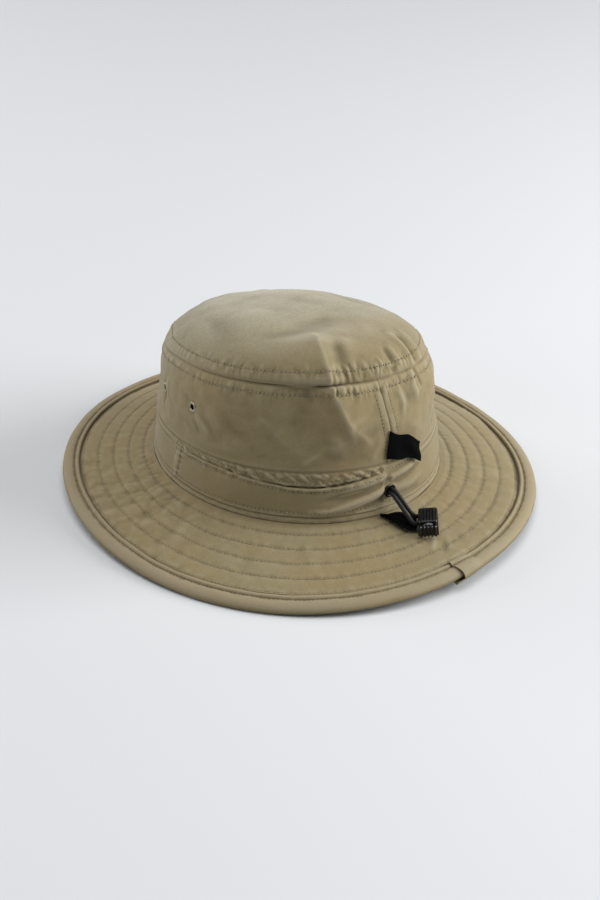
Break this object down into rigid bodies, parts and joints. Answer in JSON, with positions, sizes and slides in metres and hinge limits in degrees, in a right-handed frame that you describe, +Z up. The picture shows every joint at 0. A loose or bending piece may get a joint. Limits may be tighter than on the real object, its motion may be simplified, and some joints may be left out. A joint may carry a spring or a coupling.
{
  "type": "boonie hat",
  "caption": "Soft khaki sun hat with a domed tip, banded crown with stash pocket and vents, stitched wavy brim, and a drawcord with cord lock at the back.",
  "frame": {"origin": "on the resting plane, under the middle of the brim outline", "axes": "+Z up, the face looks out along -Y, the back of the head is at +Y, the wearer's left is +X"},
  "size_m": [0.3044, 0.3311, 0.1318],
  "materials": {
    "khaki_fabric": "fine plain-weave nylon, soft sheen, tonal topstitching",
    "khaki_lining": "matt lining and tape",
    "black_cord": "braided elastic cord",
    "black_webbing": "matt woven ribbon",
    "black_plastic": "moulded, ribbed, satin",
    "khaki_enamel": "enamelled eyelet",
    "black_enamel": "black eyelet, worn bright on its rim",
    "spring_steel": "plain wire"
  },
  "bodies": {
    "hat": {"crown_tip": "khaki_fabric", "crown_side_left": "khaki_fabric", "crown_side_right": "khaki_fabric", "hat_band": "khaki_fabric", "brim_seam_piping": "khaki_fabric", "pocket_face": "khaki_fabric", "pocket_welt": "khaki_fabric", "brim_top": "khaki_fabric", "brim_underside": "khaki_fabric", "brim_edge_binding": "khaki_fabric", "crown_seam_tape": "khaki_lining", "back_seam_tape": "khaki_lining", "front_seam_tape": "khaki_lining", "sweatband": "khaki_lining", "brim_interlining": "khaki_lining", "drawcord": "black_cord", "cord_eyelet": "black_enamel", "cord_eyelet_washer": "black_enamel", "vent_eyelet_left_rear": "khaki_enamel", "vent_eyelet_left_front": "khaki_enamel", "vent_eyelet_right_rear": "khaki_enamel", "vent_eyelet_right_front": "khaki_enamel", "vent_eyelet_left_rear_washer": "khaki_enamel", "vent_eyelet_left_front_washer": "khaki_enamel", "vent_eyelet_right_rear_washer": "khaki_enamel", "vent_eyelet_right_front_washer": "khaki_enamel"},
    "cord_lock": {"cord_lock_body": "black_plastic", "cord_lock_spring": "spring_steel", "drawcord_loop": "black_cord", "cord_lock_ribbon": "black_webbing"},
    "lock_button": {"cord_lock_button": "black_plastic"},
    "tag": {"back_tag": "black_webbing"}
  },
  "joints": [
    {"name": "cord_lock_swing", "type": "hinge", "parent": "hat", "child": "cord_lock", "pos_m": [0.00625, 0.09966, 0.03845], "axis": [0.484, 0.0595, -0.873], "range_deg": [0, 55]},
    {"name": "cord_lock_button_press", "type": "slide", "parent": "cord_lock", "child": "lock_button", "axis": [-0.6743, -0.7275, 0.1267], "range_m": [0, 0.0015], "stiffness_N_per_m": 400, "deforming": ["cord_lock_spring"]},
    {"name": "back_tag_flip", "type": "hinge", "parent": "hat", "child": "tag", "pos_m": [0.00453, 0.09529, 0.07013], "axis": [0.0041, 0.0665, -0.9978], "range_deg": [0, 150]}
  ]
}
